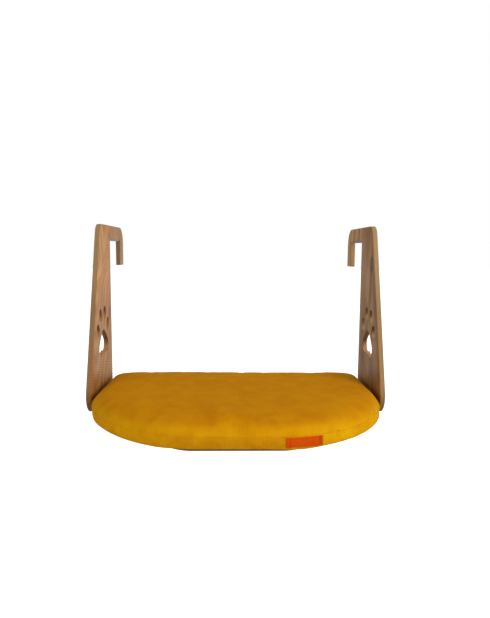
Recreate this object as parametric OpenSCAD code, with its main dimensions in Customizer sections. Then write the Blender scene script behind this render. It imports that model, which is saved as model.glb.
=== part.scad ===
// Radiator bed for a cat: two wooden hangers that hook over a panel radiator, a base
// panel bolted between them, and a loose cushion in a zipped cover. Millimetres.
// The origin lies midway between the hooks, where their pads meet the top front edge of
// the radiator. X runs along the radiator, Y from the room to the wall, Z up.

/* [Hangers] */
// Clear width between the two hangers
inner_w = 580; // [520:5:680]
// Thickness of the hanger boards
board_t = 10; // [9:0.5:14]
// Height from the foot of a hanger to the pad in its hook
hang_h = 352; // [330:1:420]
// Depth of a hanger at its top, from the radiator to the slanted front edge
top_d = 87.6; // [75:0.2:100]
// Depth of a hanger at its foot, before the corner is rounded
foot_d = 205; // [195:1:230]
// Radius of the rounded front corner at the top
nose_r = 26; // [15:1:30]
// Radius of the rounded front corner at the foot
heel_r = 38; // [15:1:40]

/* [Hook] */
// Gap of the hook, which takes the depth of the radiator
hook_gap = 106; // [70:1:120]
// Depth of the tip that drops behind the radiator
tip_w = 39; // [30:1:45]
// Length of the tip below the pad
tip_drop = 58.5; // [40:0.5:80]
// Height of wood over the pad
bridge_h = 31; // [25:1:40]
// Radius of the rounded back corner
shoulder_r = 38; // [20:1:38]
// Thickness of the felt pad under the bridge
pad_t = 3; // [2:0.5:5]
// Gap left round the edges of the felt pad
pad_edge = 0.8; // [0.4:0.1:1.5]

/* [Paw cut-out] */
// Distance of the paw's centre from the back edge of the hanger
paw_back = 77; // [72:1:82]
// Height of the paw's centre above the foot
paw_up = 132; // [125:1:170]
// Tilt of the paw towards the front, in degrees
paw_tilt = 4; // [0:1:8]
// Width of the main pad
main_pad_w = 78; // [70:1:82]
// Radius of the main pad's side lobes
lobe_r = 17; // [14:0.5:19]
// Radius of the main pad's middle lobe
mid_lobe_r = 15; // [12:0.5:16]
// Radius of the main pad's top
dome_r = 17.5; // [14:0.5:19]
// Height of the main pad's top circle over the paw's centre
dome_up = 9; // [6:0.5:12]
// Depth of the lobes' circles under the paw's centre
lobe_down = 11; // [9:0.5:13]
// Width of a toe
toe_w = 23; // [18:0.5:24]
// Height of a toe
toe_h = 28; // [24:0.5:30]
// Distance of the outer toes from the paw's middle line
outer_toe_x = 42; // [40:0.5:44]
// Height of the outer toes over the paw's centre
outer_toe_up = 33; // [31:0.5:36]
// Distance of the inner toes from the paw's middle line
inner_toe_x = 18; // [16:0.5:19]
// Height of the inner toes over the paw's centre
inner_toe_up = 62; // [60:0.5:66]
// Lean of the outer toes, in degrees
toe_lean = 18; // [0:1:25]

/* [Base panel] */
// Thickness of the base panel
panel_t = 10; // [9:0.5:14]
// How far the cushion's front stands over the panel's front
overhang = 18; // [10:1:30]
// Length of the panel's straight sides, along the hangers
panel_side_d = 172; // [168:1:190]
// Half the width of the panel's front, between its slanted sides
panel_front_half = 100; // [80:1:120]
// Radius of the bends where the straight sides end
panel_bend_r = 30; // [10:1:40]
// Radius of the panel's front corners
panel_front_r = 60; // [10:1:60]
// Radius of the panel's back corners
panel_corner_r = 3; // [1:1:10]

/* [Cushion] */
// Gap between the cushion and each hanger
side_gap = 1.5; // [1:0.5:8]
// Distance from the radiator to the cushion's front
front_d = 394; // [370:1:420]
// Distance from the radiator to the cushion's back
back_gap = 6; // [5:0.5:12]
// Half the length of the straight middle of the front
front_flat = 60; // [20:1:80]
// Depth of the rounded front, from the straight sides to the front
front_curve_d = 233; // [190:1:240]
// Radius of the cushion's back corners
back_corner_r = 35; // [25:1:45]
// Height of the band round the edge
band_h = 20; // [20:1:40]
// Rise of the top above its seam
crown_h = 30; // [6:1:40]
// Thickness of the cover fabric
cover_t = 1.2; // [0.8:0.1:2]
// How far each seam is drawn in from the fullest line of the band
seam_in = 3; // [1:0.5:5]
// How far the straight sides are drawn in between their corners
side_draw = 2; // [0:0.5:4]

/* [Label] */
// Length of the sewn label, measured straight along the front
label_l = 62; // [40:1:70]
// Height of the sewn label
label_h = 16; // [10:1:17]
// Thickness of the label tape
label_t = 0.7; // [0.4:0.1:1]
// Distance of the label's near end from the middle of the front
label_x = 81; // [60:1:100]

/* [Zip] */
// Length of the zip's opening in the band
zip_l = 430; // [300:10:450]
// Height of both zip tapes with the gap between them
zip_h = 16; // [14:0.5:16]
// Thickness of the zip tape
tape_t = 0.6; // [0.4:0.1:0.8]
// Spacing of the coil's heads along one tape
coil_pitch = 3.2; // [2.8:0.1:4]
// Thickness of the coil over the tape
coil_t = 1.8; // [1.4:0.1:2]
// Width of the two coils together
coil_w = 6; // [5:0.1:6.6]
// Length of the slider
slider_l = 13; // [10:0.5:15]
// Length of the pull from its bar
pull_l = 24; // [16:1:30]
// Width of the pull
pull_w = 7; // [5.5:0.5:9]

/* [Fasteners] */
// Diameter of the connector bolts
bolt_d = 4; // [3:0.5:4]
// Length of the connector bolts, head included
bolt_l = 40; // [35:1:50]
// Diameter of the bolts' countersunk heads
head_d = 8; // [6.5:0.5:9]
// Width across the flats of the hexagonal socket
socket_af = 2.5; // [2:0.1:3]
// Diameter of the barrel nuts
nut_d = 8; // [7:0.5:10]
// Length of the barrel nuts
nut_l = 7.6; // [7:0.1:8]
// Distance of the barrel nuts from the edge of the panel
nut_in = 22; // [16:1:25]
// Diameter of the wooden dowels
dowel_d = 6; // [5:0.5:6]
// Length of a dowel's end in the hanger
dowel_out = 6.5; // [5:0.5:7]
// Length of a dowel's end in the panel
dowel_in = 21; // [15:1:30]
// Distance of the back bolt from the back edge
back_bolt_d = 35; // [25:1:45]
// Distance of the front bolt from the back edge
front_bolt_d = 150; // [130:1:165]
// Distance of the back dowel from the back edge
back_dowel_d = 70; // [60:1:80]
// Distance of the front dowel from the back edge
front_dowel_d = 115; // [100:1:120]

/* [Hidden] */
$fn = 48;

// Clearances and small radii
overrun = 1;
small_r = 3;
gap_r = 4;
rest_gap = 0.3;
slide_gap = 0.3;
hole_clear = 0.25;
seat_clear = 0.1;
nut_clear = 0.1;
thread_clear = 0.05;
dowel_clear = 0.05;
core_gap = 0.3;
label_gap = 0.3;

// Steps of the polygons that stand for round outlines
arc_steps = 10;
quarter_steps = 15;
corner_steps = 4;

// Heights, measured from the pads in the hooks
foot_z = -hang_h;
panel_top_z = foot_z + panel_t;
joint_z = foot_z + panel_t / 2;
bridge_z = pad_t;
top_z = pad_t + bridge_h;
outer_x = inner_w / 2 + board_t;

// Shares of the way from the seam to the middle line, for the rings of the crown
ring_shares = [0, 0.025, 0.06, 0.11, 0.18, 0.32, 0.62];
// Shares of the band's height, for its rings
band_shares = [0, 0.2, 0.5, 0.8, 1];
// Share of the cushion's half width that the middle line of its crown takes
spine_share = 0.42;
// Share of a toe's width that its top keeps
toe_top_share = 0.85;
// Power of the crown's curve: a higher one gives a fuller shoulder
crown_power = 11;

// Cushion frame
cushion_half_w = inner_w / 2 - side_gap;
cushion_z = panel_top_z + rest_gap;
seam_z = cushion_z + band_h;
spine_half = cushion_half_w * spine_share;
spine_y = -(front_d + back_gap) / 2;

// Zip frame, with the coils standing out of the tapes towards the radiator
zip_z = cushion_z + band_h / 2;
tape_inset = band_inset((1 - zip_h / band_h) / 2) + (cover_t - tape_t) / 2;
tape_face_y = -back_gap - tape_inset;
tape_gap = 2.6;
tape_w = (zip_h - tape_gap) / 2;
coil_margin = 10;
closed_margin = 25;
coil_spine = 1.6;
head_share = 0.81;
head_w = coil_pitch / 2 * head_share;
head_bevel = 0.3;
coil_count = floor((zip_l - coil_margin - closed_margin) / coil_pitch);
coil_start_x = -zip_l / 2 + coil_margin;
coil_end_x = coil_start_x + coil_count * coil_pitch;
plate_t = 1;
plate_in = coil_w / 2 + slide_gap * 2;
plate_w = plate_in * 2 + plate_t * 2;
plate_flare = 1.2;
wedge_w = tape_gap - 2 * slide_gap;
wedge_share = 0.3;
wedge_l = slider_l * wedge_share;
wedge_end = 1;
slider_x = coil_end_x + slider_l / 2 - wedge_l;
front_plate_w = coil_t + slide_gap;
back_plate_w = -tape_t - slide_gap - plate_t;
bail_l = 5.4;
bail_h = 2.9;
bail_t = 1;
bail_w = 1.6;
pull_t = 1.2;
pull_lift = 1.1;
pull_axis_w = front_plate_w + plate_t + pull_lift;
eye_l = 3.8;
eye_clear = 0.4;
eye_w = bail_w + 2 * eye_clear;
eye_frame = 1.3;
pull_hole_d = 3;
stop_l = 3;
stop_w = 2.2;
core_back = -tape_face_y - back_plate_w + slide_gap;

// Fastener frame
head_h = (head_d - bolt_d) / 2;
socket_h = 2;
bolt_hole_d = bolt_d + 2 * hole_clear;
nut_x = inner_w / 2 - nut_in;
nut_recess = 0.4;
nut_slot = 1;
bolt_tip_gap = 2;
dowel_chamfer = 1;
bolt_places = [-back_bolt_d, -front_bolt_d];
dowel_places = [-back_dowel_d, -front_dowel_d];

// Colours of the finishes
wood = "#b98a5e";
felt = "#8d8a99";
steel = "#b9babd";
beech = "#d8b98a";
foam = "#f2ead2";
cord_fabric = "#d69208";
label_fabric = "#c9541a";
zip_fabric = "#c78a12";
zip_plastic = "#b57a10";
zip_metal = "#c9a24a";

// A point part of the way from one to another
function mix(a, b, t) = a + (b - a) * t;
function unit(v) = v / norm(v);

// Points along an arc
function arc(centre, r, from, to, steps) =
    [for (i = [0 : steps]) let (a = mix(from, to, i / steps)) centre + r * [cos(a), sin(a)]];

// One corner of an outline, replaced by an arc of radius r
function corner_arc(before, at, after, r) =
    let (
        u = unit(before - at),
        w = unit(after - at),
        half = acos(u * w) / 2,
        reach = r / tan(half),
        centre = at + unit(u + w) * (r / sin(half)),
        from = at + u * reach - centre,
        turn = 180 - 2 * half,
        way = sign(u[0] * w[1] - u[1] * w[0])
    )
    [for (i = [0 : arc_steps])
        let (a = -way * turn * i / arc_steps)
        centre + [from[0] * cos(a) - from[1] * sin(a), from[0] * sin(a) + from[1] * cos(a)]];

// An outline with each corner rounded by its own radius
function rounded(corners, radii) =
    let (n = len(corners))
    [for (k = [0 : n - 1])
        each corner_arc(corners[(k + n - 1) % n], corners[k], corners[(k + 1) % n], radii[k])];

// Right half of the cushion's D outline, from the middle of the front to the middle of the
// back, which lies at its own distance from the radiator. Each station holds a point, its
// outward direction and how much its side is drawn in.
function d_half(back) =
    let (
        reach = cushion_half_w - front_flat,
        curve_y = -front_d + front_curve_d,
        back_x = cushion_half_w - back_corner_r,
        side_y = -back - back_corner_r
    )
    concat(
        [[[0, -front_d], [0, -1], 0], [[front_flat, -front_d], [0, -1], 0]],
        [for (i = [1 : quarter_steps])
            let (a = 90 * i / quarter_steps)
            [[front_flat + reach * sin(a), curve_y - front_curve_d * cos(a)],
             unit([sin(a) / reach, -cos(a) / front_curve_d]), 0]],
        [for (t = [0.25, 0.5, 0.75]) [[cushion_half_w, mix(curve_y, side_y, t)], [1, 0], 4 * t * (1 - t)]],
        [for (i = [0 : corner_steps])
            let (a = 90 * i / corner_steps)
            [[back_x + back_corner_r * cos(a), side_y + back_corner_r * sin(a)], [cos(a), sin(a)], 0]],
        [for (t = [0.75, 0.5, 0.25, 0]) [[back_x * t, -back], [0, 1], 0]]
    );

function d_stations(back) =
    let (right = d_half(back), n = len(right))
    concat(right, [for (i = [n - 2 : -1 : 1])
        [[-right[i][0][0], right[i][0][1]], [-right[i][1][0], right[i][1][1]], right[i][2]]]);

// A station's point, moved in from the outline by d
function inside(s, d) = s[0] - s[1] * (d + side_draw * s[2]);

// How far the band stands in from its fullest line, at a share of its height
function band_inset(share) = seam_in * pow(2 * share - 1, 2);

// The crown's rise, at a share of the way from the seam to the middle line
function crown(share) = crown_h * (1 - pow(1 - share, crown_power));

// Where a point of the seam ends up at a share of the way to the middle line
function towards_spine(p, share) =
    mix(p, [max(-spine_half, min(spine_half, p[0])), spine_y], share);

function ring_at(stations, inset, z) =
    [for (s = stations) let (p = inside(s, inset)) [p[0], p[1], z]];
function crown_ring(stations, inset, share, drop) =
    [for (s = stations)
        let (p = towards_spine(inside(s, inset), share)) [p[0], p[1], seam_z + crown(share) - drop]];

// Stations of the cover and of the foam core inside it
cover_stations = d_stations(back_gap);
core_stations = d_stations(core_back);

// Solid through closed rings, ending in a point at each end
module ring_solid(rings, first, last) {
    n = len(rings[0]);
    m = len(rings);
    points = concat([first], [for (r = rings) each r], [last]);
    faces = concat(
        [for (i = [0 : n - 1]) [0, 1 + i, 1 + (i + 1) % n]],
        [for (r = [0 : m - 2], i = [0 : n - 1])
            let (a = 1 + r * n + i, b = 1 + r * n + (i + 1) % n) each [[a, a + n, b + n], [a, b + n, b]]],
        [for (i = [0 : n - 1]) [1 + m * n, 1 + (m - 1) * n + (i + 1) % n, 1 + (m - 1) * n + i]]
    );
    polyhedron(points, faces, convexity = 4);
}

// Solid whose section is closed and runs all the way round
module hoop_solid(rings) {
    n = len(rings[0]);
    m = len(rings);
    faces = [for (r = [0 : m - 1], i = [0 : n - 1])
        let (j = (i + 1) % n, s = (r + 1) % m)
        each [[r * n + i, s * n + i, s * n + j], [r * n + i, s * n + j, r * n + j]]];
    polyhedron([for (r = rings) each r], faces, convexity = 6);
}

// Places an outline drawn in Y and Z on a hanger, and gives it the board's thickness
module board(side) {
    translate([side > 0 ? inner_w / 2 : -outer_x, 0, 0])
        rotate([90, 0, 90]) linear_extrude(board_t) children();
}

// Turns a child so that its Z points away from the middle of the bed
module sideways(side, x, y, z) {
    translate([side * x, y, z]) rotate([0, side * 90, 0]) children();
}

// Places a child drawn with X along the zip and Z out of its tapes
module on_zip() {
    translate([0, tape_face_y, zip_z]) rotate([-90, 0, 0]) children();
}

module hanger_outline() {
    polygon(rounded(
        [[0, foot_z], [0, bridge_z], [hook_gap, bridge_z], [hook_gap, -tip_drop],
         [hook_gap + tip_w, -tip_drop], [hook_gap + tip_w, top_z], [-top_d, top_z], [-foot_d, foot_z]],
        [small_r, gap_r, gap_r, small_r, small_r, shoulder_r, nose_r, heel_r]
    ));
}

// A toe: two circles, one over the other, and the lines that touch both
module toe(x, up, lean) {
    low_r = toe_w / 2;
    high_r = low_r * toe_top_share;
    spread = toe_h - low_r - high_r;
    tangent = asin((low_r - high_r) / spread);
    translate([x, up]) rotate(lean) polygon(concat(
        arc([0, spread / 2], high_r, tangent, 180 - tangent, arc_steps),
        arc([0, -spread / 2], low_r, 180 - tangent, 360 + tangent, arc_steps)
    ));
}

// The main pad: a dome with a lobe at each side and a smaller one between them
module main_pad() {
    dome = [0, dome_up];
    lobe = [main_pad_w / 2 - lobe_r, -lobe_down];
    mid = [0, -lobe_down - (lobe_r - mid_lobe_r) / 2];
    slope = dome - lobe;
    tangent = atan2(slope[1], slope[0]) - 90 + asin((lobe_r - dome_r) / norm(slope));
    across = mid - lobe;
    along = (lobe_r * lobe_r - mid_lobe_r * mid_lobe_r + across * across) / 2 / norm(across);
    cut = lobe + unit(across) * along
        + unit([-across[1], across[0]]) * sqrt(lobe_r * lobe_r - along * along);
    lobe_a = atan2(cut[1] - lobe[1], cut[0] - lobe[0]);
    mid_a = atan2(cut[1] - mid[1], cut[0] - mid[0]);
    right = arc(lobe, lobe_r, lobe_a, tangent, arc_steps);
    polygon(concat(
        right,
        arc(dome, dome_r, tangent, 180 - tangent, arc_steps),
        [for (i = [arc_steps : -1 : 0]) [-right[i][0], right[i][1]]],
        [for (i = [1 : arc_steps - 1])
            let (a = mix(-180 - mid_a, mid_a, i / arc_steps)) mid + mid_lobe_r * [cos(a), sin(a)]]
    ));
}

module paw_outline() {
    translate([-paw_back, foot_z + paw_up]) rotate(paw_tilt) {
        main_pad();
        for (s = [-1, 1]) {
            toe(s * outer_toe_x, outer_toe_up, -s * toe_lean);
            toe(s * inner_toe_x, inner_toe_up, 0);
        }
    }
}

module bolt_holes(side) {
    for (y = bolt_places) {
        sideways(side, inner_w / 2 - overrun, y, joint_z) cylinder(h = board_t + 2 * overrun, d = bolt_hole_d);
        sideways(side, outer_x - head_h - seat_clear, y, joint_z)
            cylinder(h = head_h + seat_clear + overrun, d1 = bolt_d, d2 = head_d + 2 * (seat_clear + overrun));
    }
}

module dowel_holes(side) {
    for (y = dowel_places)
        sideways(side, inner_w / 2 - dowel_in - dowel_chamfer, y, joint_z)
            cylinder(h = dowel_in + dowel_out + 2 * dowel_chamfer, d = dowel_d + 2 * dowel_clear);
}

module hanger(side) {
    color(wood) difference() {
        board(side) difference() {
            hanger_outline();
            paw_outline();
        }
        bolt_holes(side);
        dowel_holes(side);
    }
}

module hook_pad(side) {
    half_t = board_t / 2 - pad_edge;
    color(felt)
        translate([side * (inner_w + board_t) / 2, 0, 0]) linear_extrude(pad_t)
            polygon(rounded(
                [[-half_t, gap_r], [half_t, gap_r], [half_t, hook_gap - gap_r], [-half_t, hook_gap - gap_r]],
                [pad_edge, pad_edge, pad_edge, pad_edge]
            ));
}

// Straight along the hangers, then tapered to a short straight front under the cushion
module panel_outline() {
    half_w = inner_w / 2;
    front_y = -front_d + overhang;
    polygon(rounded(
        [[half_w, 0], [-half_w, 0], [-half_w, -panel_side_d], [-panel_front_half, front_y],
         [panel_front_half, front_y], [half_w, -panel_side_d]],
        [panel_corner_r, panel_corner_r, panel_bend_r, panel_front_r, panel_front_r, panel_bend_r]
    ));
}

module base_panel() {
    color(wood) difference() {
        translate([0, 0, foot_z]) linear_extrude(panel_t) panel_outline();
        for (side = [-1, 1]) {
            for (y = bolt_places) {
                sideways(side, outer_x - bolt_l - bolt_tip_gap, y, joint_z)
                    cylinder(h = bolt_l, d = bolt_hole_d);
                translate([side * nut_x, y, foot_z - overrun])
                    cylinder(h = nut_l + 2 * nut_recess + overrun, d = nut_d + 2 * nut_clear);
            }
            dowel_holes(side);
        }
    }
}

module connector_bolts(side) {
    color(steel) for (y = bolt_places)
        sideways(side, outer_x - bolt_l, y, joint_z) difference() {
            union() {
                cylinder(h = bolt_l - head_h, d = bolt_d);
                translate([0, 0, bolt_l - head_h]) cylinder(h = head_h, d1 = bolt_d, d2 = head_d);
            }
            translate([0, 0, bolt_l - socket_h])
                cylinder(h = socket_h + overrun, r = socket_af / 2 / cos(30), $fn = 6);
        }
}

module barrel_nuts(side) {
    color(steel) for (y = bolt_places)
        difference() {
            translate([side * nut_x, y, foot_z + nut_recess]) cylinder(h = nut_l, d = nut_d);
            sideways(side, nut_x - nut_d, y, joint_z) cylinder(h = 2 * nut_d, d = bolt_d + 2 * thread_clear);
            translate([side * nut_x - nut_d, y - nut_slot / 2, foot_z + nut_recess - overrun])
                cube([2 * nut_d, nut_slot, overrun + nut_slot]);
        }
}

module dowels(side) {
    tip_d = dowel_d - dowel_chamfer;
    body_l = dowel_in + dowel_out - 2 * dowel_chamfer;
    color(beech) for (y = dowel_places)
        sideways(side, inner_w / 2 - dowel_in, y, joint_z) {
            cylinder(h = dowel_chamfer, d1 = tip_d, d2 = dowel_d);
            translate([0, 0, dowel_chamfer]) cylinder(h = body_l, d = dowel_d);
            translate([0, 0, dowel_chamfer + body_l]) cylinder(h = dowel_chamfer, d1 = dowel_d, d2 = tip_d);
        }
}

module cushion_core() {
    skin = cover_t + core_gap;
    rings = concat(
        [for (b = band_shares)
            ring_at(core_stations, band_inset(b) + skin, mix(cushion_z + skin, seam_z - skin, b))],
        [for (k = [1 : len(ring_shares) - 1]) crown_ring(core_stations, seam_in + skin, ring_shares[k], skin)]
    );
    color(foam) ring_solid(rings, [0, spine_y, cushion_z + skin], [0, spine_y, seam_z + crown_h - skin]);
}

module cover_top() {
    last = len(ring_shares) - 1;
    under = [for (k = [last : -1 : 0]) crown_ring(cover_stations, seam_in + cover_t, ring_shares[k], cover_t)];
    over = [for (k = [0 : last]) crown_ring(cover_stations, seam_in, ring_shares[k], 0)];
    top = seam_z + crown_h;
    color(cord_fabric) ring_solid(concat(under, over), [0, spine_y, top - cover_t], [0, spine_y, top]);
}

module cover_band() {
    last = len(band_shares) - 1;
    outer = [for (b = band_shares) ring_at(cover_stations, band_inset(b), mix(cushion_z, seam_z, b))];
    inner = [for (k = [last : -1 : 0])
        let (b = band_shares[k])
        ring_at(cover_stations, band_inset(b) + cover_t, mix(cushion_z + cover_t, seam_z - cover_t, b))];
    color(cord_fabric) difference() {
        hoop_solid(concat(outer, inner));
        translate([-zip_l / 2, -back_gap - seam_in - cover_t, zip_z - zip_h / 2])
            cube([zip_l, seam_in + cover_t + overrun, zip_h]);
    }
}

module cover_bottom() {
    rings = [
        ring_at(cover_stations, seam_in, cushion_z),
        ring_at(cover_stations, seam_in + cover_t, cushion_z + cover_t)
    ];
    color(cord_fabric) ring_solid(rings, [0, spine_y, cushion_z], [0, spine_y, cushion_z + cover_t]);
}

// Bare label, sewn flat on the band where the front begins to curve
module side_label() {
    reach = cushion_half_w - front_flat;
    columns = 9;
    low = (band_h - label_h) / 2;
    low_share = low / band_h;
    high_share = (low + label_h) / band_h;
    height_shares = concat(
        [low_share], [for (b = band_shares) if (b > low_share && b < high_share) b], [high_share]
    );
    rows = len(height_shares);
    face = function (out) [for (c = [0 : columns - 1], h = height_shares)
        let (
            x = label_x + label_l * c / (columns - 1),
            a = asin((x - front_flat) / reach),
            s = [[x, -front_d + front_curve_d * (1 - cos(a))],
                 unit([sin(a) / reach, -cos(a) / front_curve_d]), 0],
            p = inside(s, band_inset(h) - out)
        ) [p[0], p[1], mix(cushion_z, seam_z, h)]];
    n = columns * rows;
    sheet = [for (c = [0 : columns - 2], r = [0 : rows - 2])
        let (a = c * rows + r) each [[a, a + 1, a + 1 + rows], [a, a + 1 + rows, a + rows]]];
    rim = concat(
        [for (r = [0 : rows - 1]) r],
        [for (c = [1 : columns - 1]) c * rows + rows - 1],
        [for (r = [rows - 2 : -1 : 0]) (columns - 1) * rows + r],
        [for (c = [columns - 2 : -1 : 1]) c * rows]
    );
    faces = concat(
        sheet,
        [for (f = sheet) [f[2] + n, f[1] + n, f[0] + n]],
        [for (i = [0 : len(rim) - 1])
            let (a = rim[i], b = rim[(i + 1) % len(rim)]) each [[b, a, a + n], [b, a + n, b + n]]]
    );
    color(label_fabric) polyhedron(concat(face(label_gap + label_t), face(label_gap)), faces, convexity = 4);
}

module zip_tape(side) {
    color(zip_fabric) on_zip()
        translate([-zip_l / 2, side > 0 ? -zip_h / 2 : tape_gap / 2, -tape_t]) cube([zip_l, tape_w, tape_t]);
}

// One coil: a spine on the tape with heads that reach between those of the other coil
module zip_coil(side) {
    spine_v = coil_w / 2 - coil_spine;
    head_v = -spine_v + slide_gap;
    first_x = coil_start_x + coil_pitch * (side > 0 ? 0.25 : 0.75);
    heads = [for (i = [coil_count - 1 : -1 : 0])
        let (x = first_x + i * coil_pitch)
        each [
            [x + head_w / 2, spine_v], [x + head_w / 2, head_v + head_bevel], [x + head_w / 2 - head_bevel, head_v],
            [x - head_w / 2 + head_bevel, head_v], [x - head_w / 2, head_v + head_bevel], [x - head_w / 2, spine_v]
        ]];
    outline = concat(
        [[coil_start_x, spine_v], [coil_start_x, coil_w / 2], [coil_end_x, coil_w / 2], [coil_end_x, spine_v]], heads
    );
    color(zip_plastic) on_zip() linear_extrude(coil_t) polygon([for (p = outline) [p[0], -side * p[1]]]);
}

// Bottom stop across both tapes, and a top stop on each tape at the closed end
module zip_stops() {
    color(zip_metal) on_zip() {
        translate([coil_start_x - stop_l - slide_gap, -coil_w / 2, 0]) cube([stop_l, coil_w, coil_t]);
        for (s = [-1, 1])
            translate([slider_x + slider_l / 2 + slide_gap, s > 0 ? tape_gap / 2 : -tape_gap / 2 - stop_w, 0])
                cube([stop_l, stop_w, coil_t]);
    }
}

// Slider: two flared plates joined by the wedge, with side walls and a bail for the pull
module zip_slider() {
    half = slider_l / 2;
    flared = [
        [-half, -plate_w / 2], [0, -plate_w / 2], [half, -plate_w / 2 - plate_flare],
        [half, plate_w / 2 + plate_flare], [0, plate_w / 2], [-half, plate_w / 2]
    ];
    plate = rounded(flared, [plate_t, plate_t, plate_t, plate_t, plate_t, plate_t]);
    wedge_x = half - wedge_end - wedge_l / 2;
    color(zip_metal) on_zip() translate([slider_x, 0, 0]) {
        translate([0, 0, front_plate_w]) linear_extrude(plate_t) polygon(plate);
        translate([0, 0, back_plate_w]) linear_extrude(plate_t) polygon(plate);
        translate([0, 0, slide_gap]) linear_extrude(front_plate_w) difference() {
            polygon(plate);
            polygon([
                [-half - overrun, -plate_in], [0, -plate_in], [half + overrun, -plate_in - plate_flare],
                [half + overrun, plate_in + plate_flare], [0, plate_in], [-half - overrun, plate_in]
            ]);
        }
        translate([wedge_x, 0, back_plate_w]) linear_extrude(front_plate_w - back_plate_w + plate_t)
            polygon([[-wedge_l / 2, 0], [0, -wedge_w / 2], [wedge_l / 2, -wedge_w / 2],
                     [wedge_l / 2, wedge_w / 2], [0, wedge_w / 2]]);
        translate([0, bail_w / 2, front_plate_w + plate_t]) rotate([90, 0, 0]) linear_extrude(bail_w) difference() {
            polygon(rounded(
                [[-bail_l / 2, -plate_t / 2], [bail_l / 2, -plate_t / 2], [bail_l / 2, bail_h], [-bail_l / 2, bail_h]],
                [plate_t / 4, plate_t / 4, bail_t, bail_t]
            ));
            translate([-bail_l / 2 + bail_t, 0]) square([bail_l - 2 * bail_t, bail_h - bail_t]);
        }
    }
}

// Pull: a flat tab with an eye that the bail passes through, hung on its bar
module zip_pull() {
    neck = eye_w + 2 * eye_frame;
    tab = [[0, -neck / 2], [0, neck / 2], [-eye_l, neck / 2], [-eye_l - neck / 2, pull_w / 2],
           [-pull_l, pull_w / 2], [-pull_l, -pull_w / 2], [-eye_l - neck / 2, -pull_w / 2], [-eye_l, -neck / 2]];
    soft = eye_frame / 2;
    color(zip_metal) on_zip() translate([slider_x, 0, pull_axis_w]) {
        translate([0, 0, -pull_t / 2]) linear_extrude(pull_t) difference() {
            polygon(concat([tab[0], tab[1]], [for (k = [2 : 7])
                each corner_arc(tab[k - 1], tab[k], tab[(k + 1) % 8], k == 4 || k == 5 ? pull_w / 3 : soft)]));
            translate([-eye_l, -eye_w / 2]) square([eye_l + overrun, eye_w]);
            translate([-pull_l + pull_w / 2, 0]) circle(d = pull_hole_d);
        }
        translate([0, neck / 2, 0]) rotate([90, 0, 0]) cylinder(h = neck, d = pull_t);
    }
}

hanger(-1);  // hanger_left
hanger(1);  // hanger_right
hook_pad(-1);  // hook_pad_left
hook_pad(1);  // hook_pad_right
base_panel();
connector_bolts(-1);  // connector_bolts_left
connector_bolts(1);  // connector_bolts_right
barrel_nuts(-1);  // barrel_nuts_left
barrel_nuts(1);  // barrel_nuts_right
dowels(-1);  // dowels_left
dowels(1);  // dowels_right
cushion_core();
cover_top();
cover_band();
cover_bottom();
side_label();
zip_tape(1);  // zip_tape_upper
zip_tape(-1);  // zip_tape_lower
zip_coil(1);  // zip_coil_upper
zip_coil(-1);  // zip_coil_lower
zip_stops();
zip_slider();
zip_pull();
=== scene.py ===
import math

import bmesh
import bpy
from mathutils import Matrix, Vector, noise
from mathutils.bvhtree import BVHTree
from mathutils.kdtree import KDTree


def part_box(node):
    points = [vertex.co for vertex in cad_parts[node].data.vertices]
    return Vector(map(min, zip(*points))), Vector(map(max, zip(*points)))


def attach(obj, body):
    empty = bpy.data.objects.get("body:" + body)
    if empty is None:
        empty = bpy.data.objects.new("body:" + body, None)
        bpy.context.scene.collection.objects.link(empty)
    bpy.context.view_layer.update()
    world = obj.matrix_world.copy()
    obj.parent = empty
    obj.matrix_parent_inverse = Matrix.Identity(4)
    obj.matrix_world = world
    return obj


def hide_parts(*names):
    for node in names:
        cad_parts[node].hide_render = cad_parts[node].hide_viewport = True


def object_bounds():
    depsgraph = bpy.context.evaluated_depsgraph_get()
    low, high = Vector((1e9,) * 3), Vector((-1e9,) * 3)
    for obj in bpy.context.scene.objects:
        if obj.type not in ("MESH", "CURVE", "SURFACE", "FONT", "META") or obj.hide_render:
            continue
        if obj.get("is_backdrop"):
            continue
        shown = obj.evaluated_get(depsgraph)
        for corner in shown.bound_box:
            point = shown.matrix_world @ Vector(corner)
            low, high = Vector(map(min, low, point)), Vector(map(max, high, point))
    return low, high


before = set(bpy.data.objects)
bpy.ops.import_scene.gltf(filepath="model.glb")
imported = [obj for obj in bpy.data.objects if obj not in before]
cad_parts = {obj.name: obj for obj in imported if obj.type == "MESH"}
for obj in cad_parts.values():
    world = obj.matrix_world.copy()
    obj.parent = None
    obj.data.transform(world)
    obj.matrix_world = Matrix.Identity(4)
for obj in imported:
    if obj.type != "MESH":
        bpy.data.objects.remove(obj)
cadLow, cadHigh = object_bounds()
mm = 0.001  # the frame is in metres
print("frame loaded:", len(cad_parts), "CAD nodes")


def toLinear(code):  # sRGB hex to the linear colour a shader takes
    parts = [int(code[k:k + 2], 16) / 255 for k in (1, 3, 5)]
    return [p / 12.92 if p <= 0.04045 else ((p + 0.055) / 1.055) ** 2.4 for p in parts] + [1.0]


def grey(value):
    return [value, value, value, 1.0]


# Nodes: an input that is given a socket is linked to it, and anything else becomes its value
def addNode(tree, kind, settings=None, inputs=None, stops=()):
    node = tree.nodes.new("ShaderNode" + kind)
    for name, value in (settings or {}).items():
        setattr(node, name, value)
    for socket, value in (inputs or {}).items():
        if isinstance(value, bpy.types.NodeSocket):
            tree.links.new(value, node.inputs[socket])
        else:
            node.inputs[socket].default_value = value
    for k, (place, colour) in enumerate(stops):
        spots = node.color_ramp.elements
        spot = spots[k] if k < 2 else spots.new(place)
        spot.position, spot.color = place, colour
    return node


def treeOf(parts):  # the node tree of the first socket among them
    return next(part for part in parts if isinstance(part, bpy.types.NodeSocket)).id_data


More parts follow.
